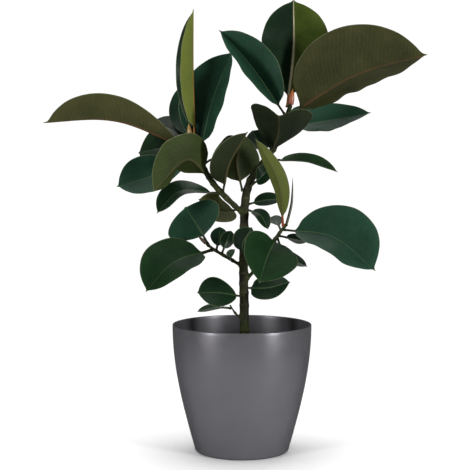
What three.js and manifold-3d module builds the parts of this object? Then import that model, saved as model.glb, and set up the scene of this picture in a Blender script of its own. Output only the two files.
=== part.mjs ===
// A rubber plant (Ficus elastica) growing in a plain round planter.
// Millimetres, +Z up. The origin is the middle of the planter's base, on the floor, and the
// plant's widest sweep is left and right, along X. The front is -Y.
import * as THREE from 'three';
import Module from 'manifold-3d';
import { mergeVertices } from 'three/addons/utils/BufferGeometryUtils.js';

// ---- Planter: a tapered round cover pot ----
const RIM_RADIUS = 125;
const FOOT_RADIUS = 84;
const PLANTER_HEIGHT = 229;
const PLANTER_WALL = 3;
const PLANTER_FLOOR = 4;
const FOOT_ROUNDING = 6;
const RIM_ROUNDING = 1.2;
const FLOOR_CORNER = 2;
const WALL_STEPS = 7;
const ROUND_SEGMENTS = 40;

// ---- Nursery pot: the thin plastic pot that the plant grows in ----
const SEAT_CLEARANCE = 0.3;
const NURSERY_WALL = 1.6;
const NURSERY_FLOOR = 2;
const NURSERY_TAPER = 28;
const NURSERY_LIP = 4;
const NURSERY_LIP_DEPTH = 10;
const NURSERY_SIDE_GAP = 8;
const NURSERY_BELOW_RIM = 38;
const NURSERY_FOOT_GAP = 4;
const NURSERY_CHAMFER = 2;

// ---- Potting soil ----
const SOIL_CLEARANCE = 0.3;
const SOIL_BELOW_LIP = 7;
const SOIL_CROWN = 4;

// ---- Plant ----
const TRUNK_RADIUS = 9;
const TRUNK_BURIED = 60;
const STEM_SIDES = 10;
const STEM_STATIONS = 12;
const STEM_END_DOME = 0.5;
const ROOT_CLEARANCE = 0.4;
const PETIOLE_RADIUS = 2.2;
const PETIOLE_LENGTH = 16;
const SLANTED_ROOT = 1.2;
const MOST_STALK = 0.25;
const STALK_END = 0.9;
const BLADE_THICKNESS = 1.8;
const TIP_THINNING = 0.5;
const MIDRIB_DEPTH = 1.5;
const LEAF_LANES = 4;
const DRIP_TIP_START = 0.955;
const DRIP_TIP_WIDTH = 0.08;
const OVAL_POWER = 0.56;
const BLADE_STATIONS = [0.03, 0.1, 0.21, 0.34, 0.48, 0.62, 0.75, 0.86, 0.93, 0.965];

const COLOURS = {
  planter: 0x626166,
  nursery: 0x1d1d1e,
  soil: 0x2c2119,
  bark: 0x2c2a1c,
  bud: 0x7d3a1c,
  dark: 0x16301f,
  teal: 0x20382f,
  olive: 0x3c3c27,
  young: 0x5f6c2a,
};

const wasm = await Module();
wasm.setup();

function material(colour, roughness) {
  return new THREE.MeshStandardMaterial({ color: colour, roughness, metalness: 0 });
}

function mesh(name, geometry, colour, roughness) {
  const made = new THREE.Mesh(geometry, material(colour, roughness));
  made.name = name;
  return made;
}

const vector = (list) => new THREE.Vector3(...list);

// ---- Round pots ----

// Outside radius of the planter at a height: a quarter sine wave from foot to rim.
function planterRadius(height) {
  const share = Math.sin((Math.PI / 2) * (height / PLANTER_HEIGHT));
  return FOOT_RADIUS + (RIM_RADIUS - FOOT_RADIUS) * share;
}

function quarterArc(centreX, centreY, radius, from, to, steps = 4) {
  const points = [];
  for (let i = 0; i <= steps; i += 1) {
    const angle = from + ((to - from) * i) / steps;
    points.push(new THREE.Vector2(centreX + radius * Math.cos(angle), centreY + radius * Math.sin(angle)));
  }
  return points;
}

// A lathe about +Z from a profile of (radius, height) points.
function turned(profile) {
  const geometry = new THREE.LatheGeometry(profile, ROUND_SEGMENTS);
  geometry.rotateX(Math.PI / 2);
  return geometry;
}

function planterGeometry() {
  const footX = planterRadius(FOOT_ROUNDING) - FOOT_ROUNDING;
  const profile = [
    new THREE.Vector2(0, 0),
    ...quarterArc(footX, FOOT_ROUNDING, FOOT_ROUNDING, -Math.PI / 2, 0),
  ];
  const wallTop = PLANTER_HEIGHT - RIM_ROUNDING;
  for (let i = 1; i < WALL_STEPS; i += 1) {
    const height = FOOT_ROUNDING + ((wallTop - FOOT_ROUNDING) * i) / WALL_STEPS;
    profile.push(new THREE.Vector2(planterRadius(height), height));
  }
  const topRadius = planterRadius(wallTop);
  profile.push(...quarterArc(topRadius - RIM_ROUNDING, wallTop, RIM_ROUNDING, 0, Math.PI / 2, 3));
  const innerTop = topRadius - PLANTER_WALL + RIM_ROUNDING;
  profile.push(...quarterArc(innerTop, wallTop, RIM_ROUNDING, Math.PI / 2, Math.PI, 3));
  for (let i = WALL_STEPS - 1; i > 0; i -= 1) {
    const height = PLANTER_FLOOR + ((wallTop - PLANTER_FLOOR) * i) / WALL_STEPS;
    profile.push(new THREE.Vector2(planterRadius(height) - PLANTER_WALL, height));
  }
  const floorRadius = planterRadius(PLANTER_FLOOR) - PLANTER_WALL - FLOOR_CORNER;
  profile.push(new THREE.Vector2(floorRadius, PLANTER_FLOOR));
  profile.push(new THREE.Vector2(0, PLANTER_FLOOR));
  return turned(profile);
}

const nurseryBase = PLANTER_FLOOR + SEAT_CLEARANCE;
const nurseryTop = PLANTER_HEIGHT - NURSERY_BELOW_RIM;
const nurseryRadius = planterRadius(nurseryTop) - PLANTER_WALL - NURSERY_SIDE_GAP - NURSERY_LIP;
const nurseryHeight = nurseryTop - nurseryBase;
const nurseryFoot = Math.min(nurseryRadius - NURSERY_TAPER, FOOT_RADIUS - PLANTER_WALL - NURSERY_FOOT_GAP);

// Outside radius of the nursery pot at a height: straight from foot to lip.
function nurseryWall(height) {
  return nurseryFoot + ((nurseryRadius - nurseryFoot) * (height - nurseryBase)) / nurseryHeight;
}

function nurseryGeometry() {
  const lipBottom = nurseryTop - NURSERY_LIP_DEPTH;
  const floorTop = nurseryBase + NURSERY_FLOOR;
  return turned([
    new THREE.Vector2(0, nurseryBase),
    new THREE.Vector2(nurseryFoot - NURSERY_CHAMFER, nurseryBase),
    new THREE.Vector2(nurseryWall(nurseryBase + NURSERY_CHAMFER), nurseryBase + NURSERY_CHAMFER),
    new THREE.Vector2(nurseryWall(lipBottom), lipBottom),
    new THREE.Vector2(nurseryWall(lipBottom) + NURSERY_LIP, lipBottom),
    new THREE.Vector2(nurseryWall(nurseryTop) + NURSERY_LIP, nurseryTop),
    new THREE.Vector2(nurseryWall(nurseryTop) - NURSERY_WALL, nurseryTop),
    new THREE.Vector2(nurseryWall(floorTop) - NURSERY_WALL, floorTop),
    new THREE.Vector2(0, floorTop),
  ]);
}

const soilTop = nurseryTop - SOIL_BELOW_LIP;
const soilBase = nurseryBase + NURSERY_FLOOR + SOIL_CLEARANCE;

function soilRadius(height) {
  return nurseryWall(height) - NURSERY_WALL - SOIL_CLEARANCE;
}

// ---- Lofted solids: every stem, leaf and bud is a stack of rings of points ----

// Rings run from the root end to the far end, each listed clockwise as seen from the far end.
// The root end is closed by a fan from one point of the first ring, the far end by one apex.
function loft(rings, apex, fanFrom = 0) {
  const sides = rings[0].length;
  const points = [...rings.flat(), apex];
  const faces = [];
  for (let k = 1; k < rings.length; k += 1) {
    for (let j = 0; j < sides; j += 1) {
      const next = (j + 1) % sides;
      const low = (k - 1) * sides;
      const high = k * sides;
      faces.push([low + j, high + next, low + next]);
      faces.push([low + j, high + j, high + next]);
    }
  }
  const last = (rings.length - 1) * sides;
  for (let j = 0; j < sides; j += 1) {
    faces.push([last + j, points.length - 1, last + ((j + 1) % sides)]);
  }
  for (let j = 1; j < sides - 1; j += 1) {
    faces.push([fanFrom, (fanFrom + j) % sides, (fanFrom + j + 1) % sides]);
  }
  const geometry = new THREE.BufferGeometry();
  const places = points.flatMap((point) => point.toArray());
  geometry.setAttribute('position', new THREE.Float32BufferAttribute(places, 3));
  geometry.setIndex(faces.flat());
  geometry.computeVertexNormals();
  return geometry;
}

// The direction at right angles to the tangent that lies nearest to the wanted one.
function squared(wanted, tangent) {
  return wanted.clone().addScaledVector(tangent, -wanted.dot(tangent)).normalize();
}

// A round ring of points about a place on a curve.
function roundRing(centre, tangent, radius, sides) {
  const side = squared(new THREE.Vector3(1, 0.2, 0), tangent);
  const other = new THREE.Vector3().crossVectors(tangent, side);
  const ring = [];
  for (let j = 0; j < sides; j += 1) {
    const angle = (-2 * Math.PI * j) / sides;
    ring.push(
      centre.clone()
        .addScaledVector(side, radius * Math.cos(angle))
        .addScaledVector(other, radius * Math.sin(angle)),
    );
  }
  return ring;
}

// ---- Stems: heights are above the soil ----
// Each path is a list of [x, y, z, radius] places that the stem grows through.
const STEMS = {
  trunk: [
    [5, 0, -TRUNK_BURIED, TRUNK_RADIUS],
    [5, 0, 10, TRUNK_RADIUS],
    [3, 0, 150, TRUNK_RADIUS - 0.3],
    [5, 0, 255, TRUNK_RADIUS - 0.8],
    [13, 0, 300, TRUNK_RADIUS - 1.4],
    [38, -4, 335, TRUNK_RADIUS - 2.4],
    [60, -6, 365, TRUNK_RADIUS - 3],
    [86, -8, 436, TRUNK_RADIUS - 4.5],
  ],
  left: [
    [3, 0, 242, 5],
    [-38, -8, 282, 6],
    [-56, -11, 305, 5.8],
    [-75, -14, 339, 5.4],
    [-91, -18, 377, 4.6],
  ],
  lower_left: [
    [2, 0, 148, 3.6],
    [-34, -12, 170, 3.6],
    [-46, -20, 178, 3.4],
    [-64, -28, 192, 3],
  ],
  right: [
    [6, 0, 122, 3.6],
    [22, -4, 142, 3.8],
    [48, -8, 182, 3.8],
    [66, -10, 208, 3.6],
    [80, -12, 226, 3.4],
  ],
  twig: [
    [5, 0, 52, 2.6],
    [-10, -3, 62, 2.6],
    [-22, -5, 80, 2],
  ],
};

function stemCurve(name) {
  return new THREE.CatmullRomCurve3(STEMS[name].map(([x, y, z]) => new THREE.Vector3(x, y, z)));
}

function stemRadius(name, share) {
  const radii = STEMS[name].map((place) => place[3]);
  const place = share * (radii.length - 1);
  const below = Math.min(Math.floor(place), radii.length - 2);
  return radii[below] + (radii[below + 1] - radii[below]) * (place - below);
}

function stemGeometry(name) {
  const curve = stemCurve(name);
  const rings = [];
  for (let k = 0; k <= STEM_STATIONS; k += 1) {
    const share = k / STEM_STATIONS;
    const radius = stemRadius(name, share);
    rings.push(roundRing(curve.getPoint(share), curve.getTangent(share), radius, STEM_SIDES));
  }
  const end = curve.getPoint(1).addScaledVector(curve.getTangent(1), stemRadius(name, 1) * STEM_END_DOME);
  return loft(rings, end);
}

function solidOf(geometry) {
  const plain = geometry.clone();
  plain.deleteAttribute('normal');
  plain.deleteAttribute('uv');
  const merged = mergeVertices(plain, 1e-4);
  return new wasm.Manifold(new wasm.Mesh({
    numProp: 3,
    vertProperties: new Float32Array(merged.attributes.position.array),
    triVerts: new Uint32Array(merged.index.array),
  }));
}

function geometryOf(solid) {
  const found = solid.getMesh();
  const geometry = new THREE.BufferGeometry();
  geometry.setAttribute('position', new THREE.Float32BufferAttribute(found.vertProperties, 3));
  geometry.setIndex([...found.triVerts]);
  geometry.computeVertexNormals();
  return geometry;
}

// Trunk, branches and twig grew as one piece.
function wholeStem() {
  let joined = null;
  for (const name of Object.keys(STEMS)) {
    const solid = solidOf(stemGeometry(name));
    joined = joined === null ? solid : joined.add(solid);
  }
  return geometryOf(joined);
}

function soilGeometry() {
  const rough = turned([
    new THREE.Vector2(0, soilBase),
    new THREE.Vector2(soilRadius(soilBase), soilBase),
    new THREE.Vector2(soilRadius(soilTop - 3), soilTop - 3),
    new THREE.Vector2(soilRadius(soilTop) - 12, soilTop - 1),
    new THREE.Vector2(soilRadius(soilTop) * 0.5, soilTop + SOIL_CROWN - 1.5),
    new THREE.Vector2(0, soilTop + SOIL_CROWN),
  ]);
  const hole = new THREE.CylinderGeometry(
    TRUNK_RADIUS + SOIL_CLEARANCE,
    TRUNK_RADIUS + SOIL_CLEARANCE,
    2 * (TRUNK_BURIED + SOIL_CLEARANCE),
    24,
  );
  hole.rotateX(Math.PI / 2);
  hole.translate(STEMS.trunk[0][0], STEMS.trunk[0][1], soilTop);
  return geometryOf(solidOf(rough).subtract(solidOf(hole)));
}

// The place on a stem's middle line at a height above the soil.
function placeOnStem(name, height) {
  const curve = stemCurve(name);
  let low = 0;
  let high = 1;
  for (let step = 0; step < 30; step += 1) {
    const middle = (low + high) / 2;
    if (curve.getPoint(middle).z < height) {
      low = middle;
    } else {
      high = middle;
    }
  }
  return { centre: curve.getPoint(low), tangent: curve.getTangent(low), radius: stemRadius(name, low) };
}

// The point just off a stem's skin from which a leaf or bud sets out towards a place.
function rootOn(name, height, towards) {
  const { centre, tangent, radius } = placeOnStem(name, height);
  const way = towards.clone().sub(centre).normalize();
  const out = squared(way, tangent);
  const slant = Math.sqrt(Math.max(0, 1 - out.dot(way) ** 2));
  return centre.addScaledVector(out, radius + ROOT_CLEARANCE + PETIOLE_RADIUS * slant * SLANTED_ROOT);
}

// ---- Leaves ----

// Half the blade's width at a share of its length: an oval with a short drip tip.
function halfWidth(share, width, fullness) {
  const oval = Math.sin(Math.PI * Math.min(share / DRIP_TIP_START, 1) ** fullness);
  const tip = (DRIP_TIP_WIDTH * (1 - share)) / (1 - DRIP_TIP_START);
  return (width / 2) * Math.max(Math.max(oval, 0) ** OVAL_POWER, Math.min(tip, DRIP_TIP_WIDTH));
}

// One ring of a blade: from the right edge over the top to the left edge and back below.
// Each half lifts from the midrib by its fold, and its outer part by the curl as well.
function bladeRing(centre, tangent, up, half, thickness, fold, curl) {
  const right = new THREE.Vector3().crossVectors(tangent, up);
  const top = [];
  const below = [];
  for (let j = 0; j <= LEAF_LANES; j += 1) {
    const across = 1 - (2 * j) / LEAF_LANES;
    const side = Math.sign(across);
    const angle = THREE.MathUtils.degToRad(across < 0 ? fold[0] : fold[1]);
    const bend = THREE.MathUtils.degToRad(curl);
    const inner = Math.min(Math.abs(across), 0.5) * half;
    const outer = Math.max(Math.abs(across) - 0.5, 0) * half;
    const along = inner * Math.cos(angle) + outer * Math.cos(angle + bend);
    const lift = inner * Math.sin(angle) + outer * Math.sin(angle + bend);
    const point = centre.clone().addScaledVector(right, side * along).addScaledVector(up, lift);
    top.push(point);
    if (j > 0 && j < LEAF_LANES) {
      const tilt = side === 0 ? 0 : side * angle;
      const normal = up.clone().multiplyScalar(Math.cos(tilt)).addScaledVector(right, -Math.sin(tilt));
      const depth = side === 0 ? thickness * MIDRIB_DEPTH : thickness;
      below.unshift(point.clone().addScaledVector(normal, -depth));
    }
  }
  return [...top, ...below];
}

// A petiole's ring has as many points as a blade's, so that the two loft together.
function petioleRing(centre, tangent, up, radius) {
  const right = new THREE.Vector3().crossVectors(tangent, up);
  const ring = [];
  const sides = 2 * LEAF_LANES;
  for (let j = 0; j < sides; j += 1) {
    const angle = (2 * Math.PI * j) / sides;
    ring.push(
      centre.clone()
        .addScaledVector(right, radius * Math.cos(angle))
        .addScaledVector(up, radius * Math.sin(angle)),
    );
  }
  return ring;
}

function leafGeometry(leaf) {
  const middle = vector(leaf.middle);
  const tip = vector(leaf.tip);
  const root = rootOn(leaf.stem, leaf.height, middle);
  const curve = new THREE.CatmullRomCurve3([root, middle, tip], false, 'chordal');
  const length = curve.getLength();
  const stalk = Math.min(leaf.stalk ?? PETIOLE_LENGTH, length * MOST_STALK) / length;
  const rings = [];
  const upAt = (share) => {
    const tangent = curve.getTangentAt(share);
    const up = squared(vector(leaf.up), tangent);
    up.applyAxisAngle(tangent, THREE.MathUtils.degToRad((leaf.twist ?? 0) * (share - 0.5)));
    return { centre: curve.getPointAt(share), tangent, up };
  };
  for (const share of [0, stalk * STALK_END]) {
    const { centre, tangent, up } = upAt(share);
    rings.push(petioleRing(centre, tangent, up, PETIOLE_RADIUS));
  }
  for (const blade of BLADE_STATIONS) {
    const { centre, tangent, up } = upAt(stalk + (1 - stalk) * blade);
    const half = halfWidth(blade, leaf.width, leaf.fullness ?? 1);
    const thickness = BLADE_THICKNESS * (1 - TIP_THINNING * blade);
    rings.push(bladeRing(centre, tangent, up, half, thickness, leaf.fold, leaf.curl ?? 0));
  }
  return loft(rings, curve.getPointAt(1), LEAF_LANES / 2);
}

// ---- Buds: slim furled sheaths that end in a point ----
const BUD_SIDES = 8;
const BUD_STATIONS = [0, 0.25, 0.5, 0.75];
const BUD_SHOULDER = 0.7;
const BUD_SEAT = 1;

function budGeometry(bud) {
  const tip = vector(bud.tip);
  const root = rootOnTip(bud.stem, tip);
  const curve = new THREE.CatmullRomCurve3([root, vector(bud.middle), tip]);
  const rings = BUD_STATIONS.map((share) => {
    const radius = bud.radius * Math.cos((Math.PI / 2) * share) ** BUD_SHOULDER;
    return roundRing(curve.getPoint(share), curve.getTangent(share), radius, BUD_SIDES);
  });
  return loft(rings, curve.getPoint(1));
}

// The point just past a stem's end, on the way to a place.
function rootOnTip(name, towards) {
  const end = stemCurve(name).getPoint(1);
  const way = towards.clone().sub(end).normalize();
  return end.addScaledVector(way, stemRadius(name, 1) * STEM_END_DOME + ROOT_CLEARANCE + BUD_SEAT);
}

const LEAVES = [
  // left crown
  { name: 'left_leaf_01', stem: 'left', height: 360, middle: [-228, -40, 408], tip: [-347, -50, 404],
    up: [0, 0.75, 0.65], width: 92, fold: [42, 52], fullness: 1.5, colour: 'olive' },
  { name: 'left_leaf_02', stem: 'left', height: 376, middle: [-86, -36, 480], tip: [-85, -38, 602],
    up: [-0.95, -0.3, 0], width: 62, fold: [60, 60], colour: 'young' },
  { name: 'left_leaf_03', stem: 'left', height: 352, middle: [-52, -12, 445], tip: [-18, -5, 532],
    up: [-0.1, -1, 0.1], width: 116, fold: [5, 62], fullness: 0.85, colour: 'teal' },
  { name: 'left_leaf_04', stem: 'left', height: 372, middle: [-100, 25, 425], tip: [-104, 45, 480],
    up: [-0.3, -0.9, 0.3], width: 64, fold: [10, 10], colour: 'teal' },
  { name: 'left_leaf_05', stem: 'left', height: 366, middle: [-130, 25, 395], tip: [-165, 45, 410],
    up: [-0.2, -0.6, 0.75], width: 60, fold: [10, 10], colour: 'dark' },
  { name: 'left_leaf_06', stem: 'left', height: 352, middle: [-138, 22, 361], tip: [-190, 46, 352],
    up: [0, -0.85, 0.5], width: 90, fold: [10, 10], fullness: 1.15, colour: 'dark' },
  { name: 'left_leaf_07', stem: 'left', height: 343, middle: [-150, -18, 314], tip: [-222, -30, 292],
    up: [-0.1, -0.8, 0.6], width: 88, fold: [15, 15], fullness: 1.4, colour: 'teal' },
  { name: 'left_leaf_08', stem: 'left', height: 310, middle: [-92, -75, 340], tip: [-150, -130, 285],
    up: [-0.25, 0.75, 0.6], width: 94, fold: [50, 25], fullness: 0.62, colour: 'olive' },
  { name: 'left_leaf_09', stem: 'left', height: 282, middle: [-21, -58, 334], tip: [10, -85, 388],
    up: [-0.6, 0.7, 0.35], width: 66, fold: [58, 40], fullness: 0.8, colour: 'olive' },
  { name: 'left_leaf_10', stem: 'trunk', height: 285, middle: [-9, -18, 336], tip: [3, -21, 386],
    up: [0.1, 0.9, 0.3], width: 82, fold: [15, 15], colour: 'dark' },
  { name: 'left_leaf_11', stem: 'left', height: 330, middle: [-38, 14, 353], tip: [-6, 36, 377],
    up: [0, 0.6, 0.8], width: 60, fold: [10, 10], colour: 'olive' },
  // right crown
  { name: 'right_leaf_01', stem: 'trunk', height: 424, middle: [200, -32, 488], tip: [322, -45, 522],
    up: [-0.25, 0.8, 0.55], width: 176, fold: [36, 36], fullness: 0.85, colour: 'olive' },
  { name: 'right_leaf_02', stem: 'trunk', height: 434, middle: [92, 15, 536], tip: [92, 22, 628],
    up: [-0.1, -1, 0.1], width: 126, fold: [30, 8], fullness: 1.3, colour: 'dark' },
  { name: 'right_leaf_03', stem: 'trunk', height: 420, middle: [14, -10, 508], tip: [-41, -15, 568],
    up: [0.2, -0.95, 0.2], width: 98, fold: [50, 50], colour: 'dark' },
  { name: 'right_leaf_04', stem: 'trunk', height: 399, middle: [168, 52, 413], tip: [234, 38, 425],
    up: [0, -0.85, 0.5], width: 79, fold: [10, 28], fullness: 0.58, colour: 'teal' },
  { name: 'right_leaf_05', stem: 'trunk', height: 348, middle: [62, -62, 380], tip: [62, -115, 414],
    up: [0.2, 0.5, 0.85], width: 156, fold: [48, 44], fullness: 0.68, colour: 'olive' },
  { name: 'right_leaf_06', stem: 'trunk', height: 345, middle: [118, -15, 336], tip: [170, -22, 318],
    up: [0, -0.4, 0.9], width: 44, fold: [20, 20], colour: 'dark' },
  { name: 'right_leaf_07', stem: 'right', height: 222, middle: [64, -50, 298], tip: [23, -60, 377],
    up: [0.3, 0.9, 0.2], width: 36, fold: [30, 30], colour: 'young' },
  { name: 'right_leaf_08', stem: 'trunk', height: 296, middle: [36, -25, 311], tip: [54, -28, 329],
    up: [-0.3, -0.8, 0.5], width: 38, fold: [10, 10], colour: 'dark' },
  { name: 'right_leaf_09', stem: 'trunk', height: 262, middle: [41, -4, 268], tip: [72, -8, 270],
    up: [0, -0.8, 0.6], width: 30, fold: [10, 10], stalk: 6, colour: 'dark' },
  { name: 'right_leaf_10', stem: 'right', height: 218, middle: [158, -40, 205], tip: [233, -60, 146],
    up: [0.1, -0.8, 0.6], width: 136, fold: [12, 32], fullness: 1.15, colour: 'teal' },
  { name: 'right_leaf_11', stem: 'right', height: 205, middle: [43, -62, 168], tip: [30, -92, 128],
    up: [0, -0.75, 0.6], width: 112, fold: [5, 45], colour: 'dark' },
  { name: 'right_leaf_12', stem: 'right', height: 200, middle: [78, 8, 168], tip: [118, 2, 148],
    up: [0.3, -0.6, 0.7], width: 34, fold: [10, 10], colour: 'olive' },
  { name: 'right_leaf_13', stem: 'trunk', height: 110, middle: [46, -20, 112], tip: [86, -34, 124],
    up: [0, -0.85, 0.5], width: 50, fold: [8, 8], fullness: 0.85, stalk: 4, colour: 'dark' },
  { name: 'right_leaf_14', stem: 'right', height: 214, middle: [60, 16, 230], tip: [46, 30, 232],
    up: [0, -0.7, 0.7], width: 26, fold: [10, 10], colour: 'dark' },
  { name: 'right_leaf_15', stem: 'right', height: 206, middle: [92, 4, 198], tip: [118, 8, 193],
    up: [0, -0.7, 0.7], width: 24, fold: [10, 10], colour: 'dark' },
  { name: 'right_leaf_16', stem: 'trunk', height: 250, middle: [30, -14, 244], tip: [47, -20, 216],
    up: [0.3, -0.6, 0.7], width: 32, fold: [10, 10], stalk: 5, colour: 'dark' },
  { name: 'right_leaf_17', stem: 'trunk', height: 340, middle: [33, 16, 366], tip: [18, 28, 393],
    up: [0.2, -0.9, 0.3], width: 50, fold: [10, 10], colour: 'dark' },
  // low on the left
  { name: 'low_leaf_01', stem: 'left', height: 286, middle: [-111, -30, 284], tip: [-150, -45, 245],
    up: [-0.1, -0.5, 0.85], width: 54, fold: [15, 15], stalk: 6, fullness: 1.3, colour: 'dark' },
  { name: 'low_leaf_02', stem: 'lower_left', height: 190, middle: [-80, -6, 222], tip: [-103, 16, 255],
    up: [-0.2, -0.93, 0.3], width: 106, fold: [8, 8], colour: 'teal' },
  { name: 'low_leaf_03', stem: 'trunk', height: 250, middle: [-40, 34, 248], tip: [-80, 46, 268],
    up: [0, 0.8, 0.6], width: 72, fold: [10, 10], colour: 'olive' },
  { name: 'low_leaf_04', stem: 'lower_left', height: 184, middle: [-121, -64, 160], tip: [-166, -88, 112],
    up: [-0.1, -0.7, 0.7], width: 110, fold: [24, 8], fullness: 0.95, colour: 'dark' },
  { name: 'low_leaf_05', stem: 'lower_left', height: 182, middle: [-82, -22, 170], tip: [-97, -22, 163],
    up: [0, 0, 1], width: 20, fold: [10, 10], colour: 'dark' },
  { name: 'low_leaf_06', stem: 'lower_left', height: 178, middle: [-41, -4, 202], tip: [-40, 6, 220],
    up: [0, -0.9, 0.3], width: 32, fold: [10, 10], stalk: 7, colour: 'teal' },
  { name: 'low_leaf_07', stem: 'lower_left', height: 172, middle: [-26, -17, 198], tip: [-19, -10, 214],
    up: [0, -0.9, 0.3], width: 26, fold: [10, 10], stalk: 7, colour: 'dark' },
  { name: 'low_leaf_08', stem: 'trunk', height: 165, middle: [1, -26, 191], tip: [18, -29, 221],
    up: [-0.3, -0.9, 0.2], width: 42, fold: [10, 10], colour: 'dark' },
  { name: 'low_leaf_09', stem: 'lower_left', height: 162, middle: [-22, -30, 172], tip: [-12, -34, 182],
    up: [-0.3, -0.9, 0.2], width: 14, fold: [10, 10], colour: 'dark' },
  { name: 'bottom_leaf_01', stem: 'trunk', height: 96, middle: [-41, -28, 104], tip: [-80, -42, 106],
    up: [0, -0.85, 0.55], width: 60, fold: [8, 8], stalk: 4, fullness: 1.35, colour: 'dark' },
  { name: 'bottom_leaf_02', stem: 'twig', height: 76, middle: [-48, -18, 77], tip: [-80, -25, 70],
    up: [0, -0.5, 0.85], width: 20, fold: [10, 10], colour: 'olive' },
];

const BUDS = [
  { name: 'right_growing_tip', stem: 'trunk', middle: [88, -9, 450], tip: [90, -10, 466], radius: 5 },
  { name: 'left_growing_tip', stem: 'left', middle: [-93, -19, 392], tip: [-94, -20, 404], radius: 4.5 },
  { name: 'low_growing_tip', stem: 'lower_left', middle: [-70, -30, 198], tip: [-78, -32, 206], radius: 3 },
  { name: 'right_spear_bud', stem: 'right', middle: [88, -14, 262], tip: [90, -14, 311], radius: 2.4 },
];

// ---- The whole thing ----
const plant = new THREE.Group();
plant.position.z = soilTop;
plant.add(mesh('stem', wholeStem(), COLOURS.bark, 0.8));
for (const leaf of LEAVES) {
  plant.add(mesh(leaf.name, leafGeometry(leaf), COLOURS[leaf.colour], 0.35));
}
for (const bud of BUDS) {
  plant.add(mesh(bud.name, budGeometry(bud), COLOURS.bud, 0.45));
}

const pottedPlant = new THREE.Group();
pottedPlant.add(mesh('planter', planterGeometry(), COLOURS.planter, 0.5));
pottedPlant.add(mesh('nursery_pot', nurseryGeometry(), COLOURS.nursery, 0.6));
pottedPlant.add(mesh('potting_soil', soilGeometry(), COLOURS.soil, 1));
pottedPlant.add(plant);

export default pottedPlant;
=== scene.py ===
"""A rubber plant in a plain round anthracite planter: broad thick leaves on a slim branching stem."""
import math

import bmesh
import bpy
import numpy as np
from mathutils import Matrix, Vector


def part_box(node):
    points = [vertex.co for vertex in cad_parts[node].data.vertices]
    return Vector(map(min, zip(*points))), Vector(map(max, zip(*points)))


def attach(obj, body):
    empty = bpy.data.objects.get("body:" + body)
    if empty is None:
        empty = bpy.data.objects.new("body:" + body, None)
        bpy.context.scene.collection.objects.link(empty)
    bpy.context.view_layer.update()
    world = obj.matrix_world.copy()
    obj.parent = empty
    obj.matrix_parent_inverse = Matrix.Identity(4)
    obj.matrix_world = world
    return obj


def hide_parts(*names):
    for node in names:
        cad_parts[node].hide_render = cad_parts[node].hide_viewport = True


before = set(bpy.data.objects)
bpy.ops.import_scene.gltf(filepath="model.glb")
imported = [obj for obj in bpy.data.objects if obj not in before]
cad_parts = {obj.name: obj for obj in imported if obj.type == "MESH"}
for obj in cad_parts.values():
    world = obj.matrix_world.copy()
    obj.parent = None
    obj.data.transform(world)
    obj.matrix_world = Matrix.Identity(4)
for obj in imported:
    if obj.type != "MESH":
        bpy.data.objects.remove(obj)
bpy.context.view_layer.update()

MM = 0.001


# ---------------------------------------------------------------- camera, floor and light
def aimed(thing, place, target):
    """Puts a camera or a light at a place, looking at a target."""
    thing.location = place
    thing.rotation_euler = (Vector(target) - Vector(place)).to_track_quat("-Z", "Y").to_euler()
    bpy.context.scene.collection.objects.link(thing)
    return thing


lens = bpy.data.cameras.new("camera")
lens.sensor_width = 36.0
lens.lens = 89.93
bpy.context.scene.camera = aimed(
    bpy.data.objects.new("camera", lens), (0.0, -2.100, 0.519), (-0.0125, 0.0, 0.389))


def softbox(name, place, size, power, target=(0.0, 0.0, 0.35)):
    """A rectangular white area light."""
    light = bpy.data.lights.new(name, "AREA")
    light.shape = "RECTANGLE"
    light.size, light.size_y = size
    light.energy = power
    aimed(bpy.data.objects.new(name, light), place, target)


softbox("left softbox", (-1.80, -1.50, 0.48), (0.4, 0.9), 40)
softbox("right softbox", (1.82, -1.50, 0.48), (0.4, 0.9), 54)
softbox("top softbox", (0.0, 0.35, 2.3), (2.4, 2.2), 62)
softbox("back softbox", (0.2, 2.2, 1.6), (2.2, 1.2), 6)

# The studio's wall shines white behind the plant, while the room lights it only faintly.
world = bpy.data.worlds.new("white studio")
world.use_nodes = True
studio = world.node_tree
sight = studio.nodes.new("ShaderNodeLightPath")
room, wall, choice = (studio.nodes.new(kind) for kind in
                      ("ShaderNodeBackground", "ShaderNodeBackground", "ShaderNodeMixShader"))
room.inputs["Strength"].default_value = 0.16
wall.inputs["Strength"].default_value = 1.05
for ground in (room, wall):
    ground.inputs["Color"].default_value = (1, 1, 1, 1)
studio.links.new(sight.outputs["Is Camera Ray"], choice.inputs[0])
studio.links.new(room.outputs[0], choice.inputs[1])
studio.links.new(wall.outputs[0], choice.inputs[2])
studio.links.new(choice.outputs[0], studio.nodes["World Output"].inputs["Surface"])
bpy.context.scene.world = world
bpy.context.scene.view_settings.view_transform = "Standard"


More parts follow.
